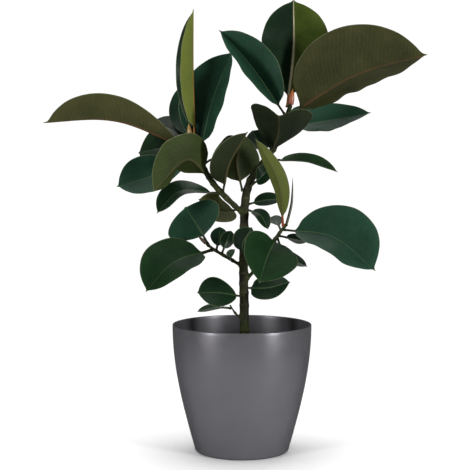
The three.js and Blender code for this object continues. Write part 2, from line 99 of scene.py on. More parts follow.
# ---------------------------------------------------------------- materials
class Wire:
    """One socket of a material. Arithmetic on it adds Math nodes; node() adds any other node."""

    def __init__(self, socket):
        self.socket = socket

    def node(self, kind, settings=None, inputs=None, output=0):
        """Adds a node: first its settings, a ramp's stops among them, then its sockets' values or links."""
        tree = self.socket.id_data
        made = tree.nodes.new(kind)
        for key, value in (settings or {}).items():
            if key == "stops":
                while len(made.color_ramp.elements) < len(value):
                    made.color_ramp.elements.new(0.5)
                for stop, (place, colour) in zip(made.color_ramp.elements, value):
                    stop.position = place
                    stop.color = (*colour, 1) if len(colour) == 3 else colour
            else:
                setattr(made, key, value)
        for key, value in (inputs or {}).items():
            if isinstance(value, Wire):
                tree.links.new(value.socket, made.inputs[key])
            else:
                made.inputs[key].default_value = value
        return Wire(made.outputs[output])

    def math(self, operation, other=0.0, clamp=False):
        return self.node("ShaderNodeMath", {"operation": operation, "use_clamp": clamp}, {0: self, 1: other})

    def __add__(self, other):
        return self.math("ADD", other)

    def __sub__(self, other):
        return self.math("SUBTRACT", other)

    def __mul__(self, other):
        return self.math("MULTIPLY", other)

    def __truediv__(self, other):
        return self.math("DIVIDE", other)

    def __rsub__(self, other):
        return self.node("ShaderNodeMath", {"operation": "SUBTRACT"}, {0: other, 1: self})

    __radd__ = __add__
    __rmul__ = __mul__

    def to(self, low, high, start=0.0, end=1.0):
        """This value's place between low and high, laid on start to end and held there."""
        return self.node("ShaderNodeMapRange", {"clamp": True},
                         {"Value": self, "From Min": low, "From Max": high, "To Min": start, "To Max": end})

    def blend(self, first, second, mode="MIX"):
        """The first colour where this value is 0, the second where it is 1."""
        colour = [(*c, 1) if isinstance(c, tuple) and len(c) == 3 else c for c in (first, second)]
        return self.node("ShaderNodeMix", {"data_type": "RGBA", "blend_type": mode},
                         {0: self, 6: colour[0], 7: colour[1]}, 2)

    def noise(self, scale, detail=4.0, roughness=0.55, stretch=(1, 1, 1)):
        """Noise over these coordinates, which are stretched first."""
        spread = self.node("ShaderNodeMapping", {}, {"Vector": self, "Scale": stretch})
        return spread.node("ShaderNodeTexNoise", {},
                           {"Vector": spread, "Scale": scale, "Detail": detail, "Roughness": roughness})


class Finish:
    """A material with its Principled shader, its object coordinates and the attributes it reads."""

    def __init__(self, name, **constants):
        self.material = bpy.data.materials.new(name)
        self.material.use_nodes = True
        self.tree = self.material.node_tree
        self.shader = self.tree.nodes["Principled BSDF"]
        for key, value in constants.items():
            self.shader.inputs[key.replace("_", " ")].default_value = value
        self.place = Wire(self.tree.nodes.new("ShaderNodeTexCoord").outputs["Object"])

    def attribute(self, name, output="Fac"):
        return self.place.node("ShaderNodeAttribute", {"attribute_name": name}, {}, output)

    def feed(self, socket, wire):
        self.tree.links.new(wire.socket, self.shader.inputs[socket])

    def bump(self, height, depth, under=None):
        """Raises the surface by the height, whose whole range stands depth metres tall."""
        inputs = {"Height": height, "Distance": depth}
        if under is not None:
            inputs["Normal"] = under
        return height.node("ShaderNodeBump", {}, inputs)


def plastic_finish(name, colour, light, roughness, grain):
    """Moulded plastic with a metallic sheen: faint cloudy tone, fine grain, and roughness that wanders
    a little. The dark edge tint keeps its silhouette from shining."""
    finish = Finish(name, Specular_IOR_Level=0.0, Metallic=0.5, Specular_Tint=(0.05, 0.05, 0.05, 1))
    cloud = finish.place.noise(9, 3)
    dust = finish.place.noise(40, 3)
    tone = (cloud * 0.7 + dust * 0.3).to(0.35, 0.65)
    finish.feed("Base Color", tone.blend(colour, light))
    finish.feed("Roughness", dust.to(0.3, 0.7, roughness - 0.04, roughness + 0.05))
    fine = finish.place.noise(400, 2)
    finish.feed("Normal", finish.bump(fine, grain))
    return finish.material


def soil_finish(name, paleness):
    """Potting soil: dark crumbs with brown fibres and a few pale grains."""
    finish = Finish(name)
    lumps = finish.place.noise(120, 8, 0.7)
    fibres = finish.place.noise(60, 4, 0.6, (1, 4, 1))
    stops = [(0.3, (0.008, 0.006, 0.005)), (0.5, (0.03, 0.02, 0.013)), (0.68, (0.075, 0.05, 0.032))]
    ramp = lumps.node("ShaderNodeValToRGB", {"stops": stops}, {"Fac": lumps})
    grains = finish.place.node("ShaderNodeTexVoronoi", {}, {"Vector": finish.place, "Scale": 210.0})
    pale = grains.to(0.16, 0.1) * fibres.to(0.56, 0.62) * paleness
    finish.feed("Base Color", pale.blend(ramp, (0.42, 0.38, 0.32)))
    finish.feed("Roughness", lumps.to(0.3, 0.7, 0.97, 0.8))
    finish.feed("Normal", finish.bump(lumps, 0.004))
    return finish.material


def bark_finish():
    """Bark: olive-brown over green, paler leaf scars that ring the stem, and fine cracks along it."""
    finish = Finish("bark", Specular_IOR_Level=0.1)
    scar = finish.attribute("scar")
    youth = finish.attribute("youth")
    cloud = finish.place.noise(55, 5, 0.65)
    cracks = finish.place.noise(420, 4, 0.7, (1, 1, 0.12))
    stops = [(0.35, (0.006, 0.006, 0.003)), (0.5, (0.014, 0.014, 0.005)), (0.68, (0.030, 0.030, 0.011))]
    old = cloud.node("ShaderNodeValToRGB", {"stops": stops}, {"Fac": cloud})
    green = cloud.to(0.3, 0.7).blend((0.012, 0.022, 0.004), (0.032, 0.044, 0.010))
    colour = (youth * cloud.to(0.3, 0.7, 0.6, 1.0)).blend(old, green)
    colour = (cracks.to(0.5, 0.66) * 0.55).blend(colour, (0.012, 0.01, 0.007))
    colour = (scar * cloud.to(0.4, 0.6, 0.45, 0.95)).blend(colour, (0.058, 0.052, 0.025))
    finish.feed("Base Color", colour)
    finish.feed("Roughness", cloud.to(0.3, 0.7, 0.5, 0.72))
    finish.feed("Normal", finish.bump(cracks, 0.0006, finish.bump(cloud, 0.0012)))
    return finish.material


VEIN_GAP = 0.0068
FINE_VEIN_GAP = 0.0021
VEIN_SLANT = 0.36


def leaf_finish(name, upper, lower, rib, lower_rib, stalk, right_upper=None, veins=0.3, matt=0.0):
    """A thick waxy leaf. Upper and lower side each have a dark and a light colour and a midrib colour;
    close side veins slant to the tip; the stalk has its own colour, the margin is a thin pale line. The upper
    side is glossy, less so as matt nears 1, and the lower one is duller. The right half may have other
    colours than the left."""
    finish = Finish(name, Specular_IOR_Level=0.14 * (1 - matt))
    under = finish.attribute("under").to(0.35, 0.65)
    midrib, rim, tone, stalked = (finish.attribute(key) for key in ("rib", "rim", "tone", "stalk"))
    spread = finish.place.node("ShaderNodeUVMap", {"uv_map": "blade"}, {})
    across, along = (spread.node("ShaderNodeSeparateXYZ", {}, {0: spread}, axis) for axis in (0, 1))
    cloud = finish.place.noise(22, 3)
    fleck = finish.place.noise(150, 5, 0.65)
    speck = finish.place.noise(620, 2, 0.5)
    drift = spread.noise(34, 3)
    slant = along - across.math("ABSOLUTE") * VEIN_SLANT + drift * 0.006
    wave = (slant * (2 * math.pi / VEIN_GAP)).math("SINE")
    fine = (slant * (2 * math.pi / FINE_VEIN_GAP)).math("SINE")
    vein = (wave.to(0.6, 1.0) * 0.65 + fine.to(0.4, 1.0) * 0.35) * fleck.to(0.35, 0.65, 0.4, 1.0)
    vein = vein * (1 - midrib) * rim.to(0.001, 0.008)
    # Painted shade: each half is lighter near its margin and darker in towards the midrib, for the shading of
    # its curve.
    painted_shade_to_midrib = rim.to(0.003, 0.028, 0.16, -0.10)
    tint = (cloud * 0.9 + fleck * 0.3 + tone * 0.6 + painted_shade_to_midrib).to(0.5, 1.3)
    top = tint.blend(*upper)
    if right_upper:
        top = across.to(-0.001, 0.002).blend(top, tint.blend(*right_upper))
    top = (vein * (veins * 0.25)).blend(top, upper[1], "SCREEN")
    top = (midrib.to(0.3, 0.9) * drift.to(0.3, 0.7, 0.6, 1.0)).blend(top, rib)
    below = tint.blend(*lower)
    below = (vein * veins).blend(below, lower[1], "SCREEN")
    below = (midrib.to(0.15, 0.8) * drift.to(0.3, 0.7, 0.45, 0.9)).blend(below, lower_rib)
    colour = stalked.to(0.25, 0.95).blend(under.blend(top, below), stalk)
    colour = (speck.to(0.66, 0.72) * 0.25).blend(colour, PALE_MARGIN)
    edge = rim.to(0.0017, 0.0005) * (1 - stalked) * fleck.to(0.35, 0.6, 0.35, 0.8)
    finish.feed("Base Color", edge.blend(colour, PALE_MARGIN))
    gloss = fleck.to(0.3, 0.7, 0.3 + 0.2 * matt, 0.4 + 0.2 * matt)
    finish.feed("Roughness", gloss + under * 0.3 + vein * 0.03)
    relief = finish.bump(cloud, 0.0010, finish.bump(fleck, 0.00004))
    finish.feed("Normal", finish.bump(vein, 0.00007, relief))
    return finish.material


def bud_finish(name, base, tip):
    """A furled sheath: one colour at its root, another at its tip, and fine stripes along it."""
    finish = Finish(name)
    reach = finish.attribute("reach")
    stripes = finish.place.noise(500, 3, 0.6, (1, 1, 0.08))
    colour = (reach + stripes * 0.3 - 0.15).to(0.0, 1.0).blend(base, tip)
    finish.feed("Base Color", (stripes.to(0.45, 0.7) * 0.4).blend(colour, tip))
    finish.feed("Roughness", stripes.to(0.3, 0.7, 0.32, 0.45))
    finish.feed("Normal", finish.bump(stripes, 0.0004))
    return finish.material


DARK = ((0.002, 0.009, 0.003), (0.007, 0.025, 0.009))
TEAL = ((0.0045, 0.018, 0.010), (0.014, 0.046, 0.026))
GREEN = ((0.003, 0.014, 0.004), (0.009, 0.032, 0.009))
OLIVE = ((0.012, 0.014, 0.0035), (0.037, 0.038, 0.011))
# Painted shade: a darker, greener copy of the olive underside, for undersides that stand in shade.
SHADED_OLIVE = ((0.003, 0.006, 0.0015), (0.012, 0.017, 0.004))
GREEN_OLIVE = ((0.010, 0.016, 0.003), (0.028, 0.040, 0.008))
# Painted light: a brighter copy of the olive underside, for undersides that face the light.
LIT_OLIVE = ((0.045, 0.052, 0.012), (0.085, 0.095, 0.025))
GREY_GREEN = ((0.012, 0.022, 0.007), (0.032, 0.044, 0.017))
YOUNG = ((0.052, 0.072, 0.009), (0.125, 0.150, 0.024))
PALE_MARGIN = (0.12, 0.14, 0.07)
GREEN_RIB, OLIVE_RIB, RED_RIB = (0.048, 0.085, 0.034), (0.060, 0.050, 0.018), (0.085, 0.036, 0.014)
GREEN_STALK, RED_STALK = (0.018, 0.024, 0.008), (0.17, 0.035, 0.012)
LEAF_FINISHES = {
    "dark": leaf_finish("dark leaf", DARK, GREEN_OLIVE, GREEN_RIB, OLIVE_RIB, GREEN_STALK),
    "teal": leaf_finish("teal leaf", TEAL, GREY_GREEN, GREEN_RIB, OLIVE_RIB, GREEN_STALK, matt=0.35),
    "green": leaf_finish("green leaf", GREEN, GREEN_OLIVE, (0.05, 0.085, 0.03), OLIVE_RIB, GREEN_STALK,
                         matt=0.5),
    "olive": leaf_finish("olive leaf", DARK, OLIVE, GREEN_RIB, RED_RIB, GREEN_STALK, matt=0.2),
    "shaded olive": leaf_finish("shaded olive leaf", DARK, SHADED_OLIVE, GREEN_RIB, OLIVE_RIB, GREEN_STALK),
    "green olive": leaf_finish("green-olive leaf", DARK, GREEN_OLIVE, GREEN_RIB, OLIVE_RIB, GREEN_STALK),
    "lit olive": leaf_finish("painted-lit olive leaf", DARK, LIT_OLIVE, GREEN_RIB, OLIVE_RIB, GREEN_STALK),
    "young": leaf_finish("young leaf", DARK, YOUNG, (0.16, 0.14, 0.05), (0.20, 0.085, 0.012),
                         (0.22, 0.09, 0.02), veins=0.15),
    "cream": leaf_finish("cream-ribbed leaf", DARK, GREY_GREEN, (0.50, 0.45, 0.29), (0.25, 0.16, 0.08),
                         (0.25, 0.13, 0.04), ((0.028, 0.044, 0.006), (0.062, 0.088, 0.014)), matt=0.7),
    "arching": leaf_finish("arching leaf", DARK, ((0.034, 0.046, 0.007), (0.070, 0.085, 0.016)),
                           (0.16, 0.14, 0.05), (0.055, 0.050, 0.014), RED_STALK),
}
CRUMB_FINISH = soil_finish("loose crumbs", 0.5)
FINISHES = {
    "planter": plastic_finish(
        "matt anthracite plastic", (0.100, 0.098, 0.106), (0.110, 0.107, 0.116), 0.34, 0.00001),
    "nursery_pot": plastic_finish(
        "thin black plastic", (0.010, 0.010, 0.011), (0.022, 0.022, 0.023), 0.5, 0.0002),
    "potting_soil": soil_finish("potting soil", 0.8),
    "stem": bark_finish(),
    "right_growing_tip": bud_finish("orange sheath", (0.20, 0.035, 0.010), (0.34, 0.11, 0.03)),
    "left_growing_tip": bud_finish("yellow-brown sheath", (0.26, 0.15, 0.03), (0.32, 0.20, 0.06)),
    "low_growing_tip": bud_finish("brown sheath", (0.03, 0.016, 0.008), (0.07, 0.032, 0.014)),
    "right_spear_bud": bud_finish("dark sheath", (0.03, 0.04, 0.015), (0.07, 0.05, 0.03)),
}


# ---------------------------------------------------------------- making and naming pieces
def grid_faces(rows, columns):
    """Four-sided faces of a grid of points whose columns go round and close, facing out if they go round
    against the clock as seen from the last row."""
    k, j = np.meshgrid(np.arange(rows - 1), np.arange(columns), indexing="ij")
    n = (j + 1) % columns
    return np.stack([k * columns + j, k * columns + n, (k + 1) * columns + n, (k + 1) * columns + j],
                    -1).reshape(-1, 4)


def fan_faces(first, columns, middle):
    """Triangles from a ring of points, which starts at first, to one middle point beyond it."""
    return [[first + j, first + (j + 1) % columns, middle] for j in range(columns)]


def piece(name, node, points, faces, finish, uv=None, **attributes):
    """Makes a piece with its finish, its UV map and its point attributes, ties it to the root body, and hides
    the CAD node that it stands for."""
    mesh = bpy.data.meshes.new(name)
    mesh.from_pydata(points.reshape(-1, 3).tolist(), [], faces)
    if uv is not None:
        loops = np.empty(len(mesh.loops), np.int32)
        mesh.loops.foreach_get("vertex_index", loops)
        layer = mesh.uv_layers.new(name="blade")
        layer.data.foreach_set("uv", uv.reshape(-1, 2)[loops].astype(np.float32).ravel())
    for key, values in attributes.items():
        layer = mesh.attributes.new(key, "FLOAT", "POINT")
        layer.data.foreach_set("value", np.broadcast_to(values, points.shape[:-1]).astype(np.float32).ravel())
    mesh.polygons.foreach_set("use_smooth", np.ones(len(mesh.polygons), bool))
    mesh.materials.append(finish)
    made = bpy.data.objects.new(name, mesh)
    bpy.context.scene.collection.objects.link(made)
    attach(made, "root")
    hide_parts(node)


def smooth(knots, values, at):
    """A cubic curve through the values at the knots: each span is a Hermite cubic whose end slopes are those
    of the parabola through the knot and its two neighbours."""
    span = np.diff(knots)
    slope = np.diff(values, axis=0) / span.reshape(-1, *[1] * (values.ndim - 1))
    before, after = span[:-1], span[1:]
    weight = (after / (before + after)).reshape(-1, *[1] * (values.ndim - 1))
    bend = np.concatenate([slope[:1], weight * slope[:-1] + (1 - weight) * slope[1:], slope[-1:]])
    i = np.clip(np.searchsorted(knots, at, "right") - 1, 0, len(span) - 1)
    t = ((at - knots[i]) / span[i]).reshape(-1, *[1] * (values.ndim - 1))
    h = span[i].reshape(t.shape)
    return ((2 * t**3 - 3 * t**2 + 1) * values[i] + (t**3 - 2 * t**2 + t) * h * bend[i]
            + (3 * t**2 - 2 * t**3) * values[i + 1] + (t**3 - t**2) * h * bend[i + 1])


def step(x, low, high):
    """0 below low, 1 above high, and an even S between: 3 s squared less 2 s cubed."""
    s = np.clip((x - low) / (high - low), 0, 1)
    return s * s * (3 - 2 * s)


def unit(vectors):
    return vectors / np.maximum(np.linalg.norm(vectors, axis=-1, keepdims=True), 1e-12)


# ---------------------------------------------------------------- the rings of a CAD leaf or bud
def merged(node):
    """Points and triangles of a CAD node once its loose triangles are joined."""
    joined = bmesh.new()
    joined.from_mesh(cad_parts[node].data)
    bmesh.ops.remove_doubles(joined, verts=joined.verts, dist=2e-6)
    joined.verts.index_update()
    points = np.array([v.co for v in joined.verts])
    faces = np.array([[v.index for v in f.verts] for f in joined.faces])
    joined.free()
    return points, faces


def rings_of(node, first):
    """The rings of eight points that a CAD leaf or bud is lofted through, from root to tip, and its apex.
    The apex has eight triangles and one point of the root ring nine; beyond the edge between two
    neighbours of a ring lies a point of the ring before."""
    points, faces = merged(node)
    third = np.full((len(points), len(points)), -1)
    for turn in range(3):
        third[faces[:, turn], faces[:, (turn + 1) % 3]] = faces[:, (turn + 2) % 3]
    count = np.bincount(faces.ravel(), minlength=len(points))
    apex, start = int(np.argmax(count == 8)), int(np.argmax(count == 9))
    ring = [int(np.argmax(third[:, apex] >= 0))]
    while len(ring) < 8:
        ring.append(int(third[ring[-1], apex]))
    rings = [np.array(ring)]
    while len(rings) * 8 < len(points) - 1:
        rings.append(third[rings[-1], np.roll(rings[-1], -1)])
    order = np.array(rings[::-1])
    shift = int(np.argmax(order[0] == start)) - first
    return points[np.roll(order, -shift, axis=1)], points[apex]


# ---------------------------------------------------------------- leaves
HALF_LANES = 11
STALK_ROWS = 8
BLADE_ROWS = 60
LEAF_THICKNESS = 0.85 * MM
STALK_RADIUS = 2.0 * MM
STALK_BURIED = 3.2 * MM
MARGIN_WAVE = 0.016
CREAM_RIB = 1.9


def leaf(node, kind, tone, rib):
    """A leaf in one closed skin. Along: the stalk, then the blade, whose guide lines are smooth curves
    through the CAD rings. Across: each half is the parabola through midrib, half middle and margin,
    and its margin waves as two sines of the length. The underside lies one thickness below along the
    surface's own normal, and the midrib is a parabola-shaped ridge on it and a groove above."""
    rings, apex = rings_of(node, 2)
    root, stalk_end = rings[0].mean(0), rings[1].mean(0)
    right = unit(rings[2, 0] - rings[2, 4])
    fan = np.array([1.0, 0.5, 0.0, -0.5, -1.0])[:, None]
    guides = np.concatenate([(stalk_end + fan * right * STALK_RADIUS)[None], rings[2:, :5],
                             np.broadcast_to(apex, (1, 5, 3))])
    knots = np.concatenate([[0], np.cumsum(np.linalg.norm(np.diff(guides[:, 2], axis=0), axis=1))])
    share = np.linspace(0, 1, BLADE_ROWS)
    share = 0.45 * share + 0.55 * (1 - np.cos(np.pi * share)) / 2
    along = share * knots[-1]
    lines = smooth(knots, guides, along)
    across = step(np.linspace(0, 1, HALF_LANES + 1), 0, 1)
    lanes = across[:, None]

    def half(middle, edge):
        m, q, e = (lines[:, i][:, None] for i in (2, middle, edge))
        return m * (1 - 2 * lanes) * (1 - lanes) + q * 4 * lanes * (1 - lanes) + e * lanes * (2 * lanes - 1)

    rights, lefts = half(1, 0), half(3, 4)
    top = np.concatenate([lefts[:, ::-1], rights[:, 1:]], axis=1)
    v = np.concatenate([-across[::-1], across[1:]])
    forward = unit(np.gradient(lines[:, 2], axis=0))
    normal = unit(np.cross(np.gradient(top, axis=1), np.gradient(top, axis=0)))
    normal[-1] = normal[-2]
    normal[0] = normal[1]
    reach = np.linalg.norm(np.diff(top, axis=1), axis=2)
    half_width = np.maximum(reach.sum(1) / 2, 1e-5)
    seed = sum(map(ord, node)) % 17
    ripple = np.sin(along / 0.047 * 2 * np.pi + seed)[:, None] * np.sign(v)
    ripple = ripple + np.sin(along / 0.083 * 7 + 2 * seed)[:, None]
    height = MARGIN_WAVE * half_width[:, None] * v**2 * ripple * step(share, 0.02, 0.2)[:, None]
    top = top + normal * height[..., None]
    distance = np.abs(v) * half_width[:, None]
    ridge_radius = rib * STALK_RADIUS * (1 - 0.75 * share)
    ridge = np.clip(1 - (distance / ridge_radius[:, None]) ** 2, 0, 1)
    thickness = LEAF_THICKNESS * (1 - 0.55 * v**6) * (1 - 0.5 * share[:, None])
    below = top - normal * (thickness + 0.9 * ridge_radius[:, None] * ridge)[..., None]
    top = top - normal * (0.35 * MM * ridge * (1 - share[:, None]))[..., None]
    skin = np.concatenate([top, below[:, -2:0:-1]], axis=1)
    columns = skin.shape[1]

    # the stalk's round section, which sinks under the blade as the blade takes over
    up = unit(np.cross(np.broadcast_to(right, forward.shape), forward))
    side = np.cross(forward, up)
    angle = np.concatenate([np.linspace(0, np.pi, 2 * HALF_LANES + 1),
                            np.linspace(np.pi, 2 * np.pi, 2 * HALF_LANES + 1)[1:-1]])
    circle = np.sin(angle)[:, None] * up[:, None] - np.cos(angle)[:, None] * side[:, None]
    taken = step(share, 0.0, 0.075)[:, None, None]
    radius = STALK_RADIUS * (1 - 0.35 * taken)
    round_skin = lines[:, 2][:, None] - up[:, None] * STALK_RADIUS * taken + circle * radius
    skin = round_skin * (1 - taken) + skin * taken
    way = unit(stalk_end - root)
    places = np.linspace(0, 1, STALK_ROWS, endpoint=False)[:, None]
    start = root - way * STALK_BURIED
    flare = 1 + 0.4 * np.exp(-(places / 0.25) ** 2)
    stalk = (start + (stalk_end - start) * places)[:, None] + circle[0] * (STALK_RADIUS * flare)[..., None]
    skin = np.concatenate([stalk, skin[:-1], np.broadcast_to(skin[-1].mean(0), (1, columns, 3))])

    lane = np.concatenate([v, v[-2:0:-1]])
    blank = np.zeros((STALK_ROWS, columns))
    across_m = np.concatenate([blank, lane * half_width[:, None]])
    along_m = np.concatenate([blank - 0.01, np.broadcast_to(along[:, None], (BLADE_ROWS, columns))])
    is_under = np.concatenate([np.zeros(2 * HALF_LANES + 1), np.ones(2 * HALF_LANES - 1)])
    is_under[[0, 2 * HALF_LANES]] = 0.5
    rim = np.concatenate([blank + 0.01, (1 - np.abs(lane)) * half_width[:, None]])
    band_width = np.concatenate([np.full(STALK_ROWS, STALK_RADIUS), ridge_radius * 0.8])[:, None]
    band = np.exp(-(np.abs(across_m) / band_width) ** 2)
    stalkness = np.concatenate([np.ones(STALK_ROWS), 1 - taken[:, 0, 0]])[:, None]
    points = skin[:-1].reshape(-1, 3)
    faces = grid_faces(len(skin) - 1, columns).tolist()
    last = (len(skin) - 2) * columns
    faces += fan_faces(last, columns, len(points))
    faces.append(list(range(columns))[::-1])
    points = np.concatenate([points, skin[-1, :1]])

    def flat(values):
        full = np.broadcast_to(values, skin.shape[:2])
        return np.concatenate([full[:-1].ravel(), full[-1, :1]])

    uv = np.stack([flat(across_m), flat(along_m)], -1)
    piece(node.replace("_", "-"), node, points, faces, LEAF_FINISHES[kind], uv,
          under=flat(is_under[None]), rim=flat(rim), rib=flat(band), stalk=flat(stalkness), tone=tone)


LEAVES = {
    "left_leaf_01": ("olive", 0.9), "left_leaf_02": ("young", 0.5), "left_leaf_03": ("teal", 0.6),
    "left_leaf_04": ("teal", 0.5), "left_leaf_05": ("dark", 0.3), "left_leaf_06": ("dark", 0.3),
    "left_leaf_07": ("teal", 0.5), "left_leaf_08": ("green olive", 0.75), "left_leaf_09": ("shaded olive", 0.9),
    "left_leaf_10": ("green olive", 0.2), "left_leaf_11": ("green olive", 0.3),
    "right_leaf_01": ("olive", 0.55), "right_leaf_02": ("cream", 0.3), "right_leaf_03": ("teal", 0.7),
    "right_leaf_04": ("teal", 0.8), "right_leaf_05": ("shaded olive", 0.4), "right_leaf_06": ("green", 0.5),
    "right_leaf_07": ("arching", 0.6), "right_leaf_08": ("dark", 0.2), "right_leaf_09": ("green olive", 0.2),
    "right_leaf_10": ("teal", 0.65), "right_leaf_11": ("green", 0.45), "right_leaf_12": ("lit olive", 0.3),
    "right_leaf_13": ("dark", 0.3), "right_leaf_14": ("dark", 0.2), "right_leaf_15": ("dark", 0.2),
    "right_leaf_16": ("dark", 0.2), "right_leaf_17": ("dark", 0.2),
    "low_leaf_01": ("dark", 0.45), "low_leaf_02": ("teal", 0.45), "low_leaf_03": ("lit olive", 0.5),
    "low_leaf_04": ("green", 0.3), "low_leaf_05": ("dark", 0.1), "low_leaf_06": ("teal", 0.3),
    "low_leaf_07": ("dark", 0.2), "low_leaf_08": ("dark", 0.0), "low_leaf_09": ("dark", 0.6),
    "bottom_leaf_01": ("dark", 0.6), "bottom_leaf_02": ("green olive", 0.6),
}
for node, (kind, tone) in LEAVES.items():
    leaf(node, kind, tone, CREAM_RIB if kind == "cream" else 1.0)


# ---------------------------------------------------------------- buds
BUD_BURIED = 2.5 * MM


def bud(node):
    """A furled sheath: a spindle along a smooth curve through the CAD rings' centres. Its radius is a quarter
    cosine wave to the power 0.8, swollen by a half sine, and a step that winds slowly round it, the fourth
    power of the angle, is the sheath's one fold."""
    rings, apex = rings_of(node, 0)
    centres = np.concatenate([rings.mean(1), apex[None]])
    knots = np.concatenate([[0], np.cumsum(np.linalg.norm(np.diff(centres, axis=0), axis=1))])
    radius = np.linalg.norm(rings - rings.mean(1, keepdims=True), axis=2).mean(1)
    at = np.linspace(0, 1, 26)
    line = smooth(knots, centres, at * knots[-1])
    size = radius[0] * np.cos(np.pi / 2 * at) ** 0.8 * (1 + 0.12 * np.sin(np.pi * at))
    forward = unit(np.gradient(line, axis=0))
    side = unit(np.cross(forward, [0.0, 1.0, 0.2]))
    other = np.cross(forward, side)
    angle = np.linspace(0, 2 * np.pi, 28, endpoint=False)
    fold = 1 + 0.10 * ((angle[None] / (2 * np.pi) + 0.6 * at[:, None]) % 1.0) ** 4
    ring = np.cos(angle)[None, :, None] * side[:, None] + np.sin(angle)[None, :, None] * other[:, None]
    skin = line[:, None] + ring * (size[:, None] * fold)[..., None]
    start = skin[:1] - forward[0] * BUD_BURIED
    skin = np.concatenate([start, skin[:-1]])
    points = np.concatenate([skin.reshape(-1, 3), line[-1:]])
    columns, rows = len(angle), len(skin)
    faces = grid_faces(rows, columns).tolist() + fan_faces((rows - 1) * columns, columns, rows * columns)
    faces.append(list(range(columns))[::-1])
    reach = np.repeat(np.concatenate([[0], at[:-1]]), columns)
    piece(node.replace("_", "-"), node, points, faces, FINISHES[node], reach=np.append(reach, 1))


for node in ("right_growing_tip", "left_growing_tip", "low_growing_tip", "right_spear_bud"):
    bud(node)


# ---------------------------------------------------------------- stem
STEM_CELL = 1.1 * MM
STEM_ROUNDS = 14
SHOOT_LEAD = 0.5 * MM
SCAR_HEIGHT = 0.65 * MM
WAIST_DEPTH = 0.22 * MM
SOIL_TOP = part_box("stem")[0].z + 60 * MM
STEM_PATHS = [
    [(5, 0, -60), (5, 0, 10), (3, 0, 150), (5, 0, 255), (13, 0, 300), (38, -4, 335), (60, -6, 365),
     (86, -8, 436)],
    [(3, 0, 242), (-38, -8, 282), (-56, -11, 305), (-75, -14, 339), (-91, -18, 377)],
    [(2, 0, 148), (-34, -12, 170), (-46, -20, 178), (-64, -28, 192)],
    [(6, 0, 122), (22, -4, 142), (48, -8, 182), (66, -10, 208), (80, -12, 226)],
    [(5, 0, 52), (-10, -3, 62), (-22, -5, 80)],
]


def smoothed(points, edges, rounds, pull=0.5):
    """Each point moves towards the mean of its neighbours, so facets and crotches go round."""
    count = np.bincount(edges.ravel(), minlength=len(points))[:, None]
    for _ in range(rounds):
        total = np.stack([np.bincount(edges.ravel(), points[edges[:, ::-1].ravel(), i], len(points))
                          for i in range(3)], -1)
        points = points + pull * (total / count - points)
    return points


def stem():
    """The CAD stem in finer cells, its facets smoothed away. Distance along the nearest path gives leaf
    scars: raised rings, each a bell curve of the distance, at gaps that a sine makes uneven, with a
    cosine's shallow waist between them, and a slow sine that makes the stem wander in thickness."""
    points, faces = merged("stem")
    mesh = bpy.data.meshes.new("stem")
    mesh.from_pydata(points.tolist(), [], faces.tolist())
    made = bpy.data.objects.new("stem", mesh)
    bpy.context.scene.collection.objects.link(made)
    cells = made.modifiers.new("finer cells", "REMESH")
    cells.mode = "VOXEL"
    cells.voxel_size = STEM_CELL
    finer = bpy.data.meshes.new_from_object(made.evaluated_get(bpy.context.evaluated_depsgraph_get()))
    bpy.data.objects.remove(made)
    points = np.array([v.co for v in finer.vertices])
    edges = np.array([e.vertices for e in finer.edges])
    faces = [tuple(p.vertices) for p in finer.polygons]
    points = smoothed(points, edges, STEM_ROUNDS)
    best = np.full(len(points), 1e9)
    along = np.zeros(len(points))
    heart = np.zeros_like(points)
    age = np.zeros(len(points))
    for number, path in enumerate(STEM_PATHS):
        knots = np.array(path) * MM + [0, 0, SOIL_TOP]
        length = np.concatenate([[0], np.cumsum(np.linalg.norm(np.diff(knots, axis=0), axis=1))])
        fine = np.linspace(0, length[-1], 260)
        line = smooth(length, knots, fine)
        gap = np.linalg.norm(points[:, None] - line[None], axis=2)
        nearest = gap.argmin(1)
        closer = gap.min(1) < best + SHOOT_LEAD
        best = np.where(closer, gap.min(1), best)
        along = np.where(closer, fine[nearest], along)
        heart = np.where(closer[:, None], line[nearest], heart)
        age = np.where(closer, number > 0, age)
    out = unit(points - heart)
    gap = np.where(age > 0, 0.017, 0.021)
    turn = np.arctan2(out[:, 1], out[:, 0])
    phase = along / gap + 0.10 * np.sin(turn) + 0.18 * np.sin(along * 71)
    scar = np.exp(-(((phase % 1.0) - 0.5) / 0.075) ** 2) * (0.65 + 0.35 * np.sin(turn * 2 + along * 90))
    waist = np.cos(2 * np.pi * (phase - 0.5))
    wander = np.sin(along * 55 + turn) * 0.25 * MM
    points = points + out * (SCAR_HEIGHT * scar + WAIST_DEPTH * waist + wander)[:, None]
    youth = np.clip(np.where(age > 0, 0.55 + along * 3.0, step(along, 0.3, 0.5)), 0, 1)
    youth = np.maximum(youth, 0.8 * np.exp(-((along - 0.085) / 0.03) ** 2))
    piece("bark-skin", "stem", points, faces, FINISHES["stem"], scar=scar, youth=youth)


stem()


# ---------------------------------------------------------------- planter, nursery pot and soil
SAME = 1e-5
PLANTER_SEGMENTS = 144
NURSERY_SEGMENTS = 112
SOIL_RINGS, SOIL_SEGMENTS = 70, 200
CRUMBS = 520


def turned(name, node, profile, segments, finish):
    """A lathe about the upright axis: each profile point (radius, height) goes round in a circle; the
    profile starts and ends on the axis, where one point closes it."""
    angle = np.linspace(0, 2 * np.pi, segments, endpoint=False)
    body = np.array(profile[1:-1])
    skin = np.stack([body[:, :1] * np.cos(angle), body[:, :1] * np.sin(angle),
                     np.broadcast_to(body[:, 1:], (len(body), segments))], -1)
    ends = np.array([[0, 0, profile[0][1]], [0, 0, profile[-1][1]]])
    points = np.concatenate([skin.reshape(-1, 3), ends])
    count = len(body) * segments
    faces = grid_faces(len(body), segments).tolist()
    faces += [face[1::-1] + face[2:] for face in fan_faces(0, segments, count)]
    faces += fan_faces(count - segments, segments, count + 1)
    piece(name, node, points, faces, finish)


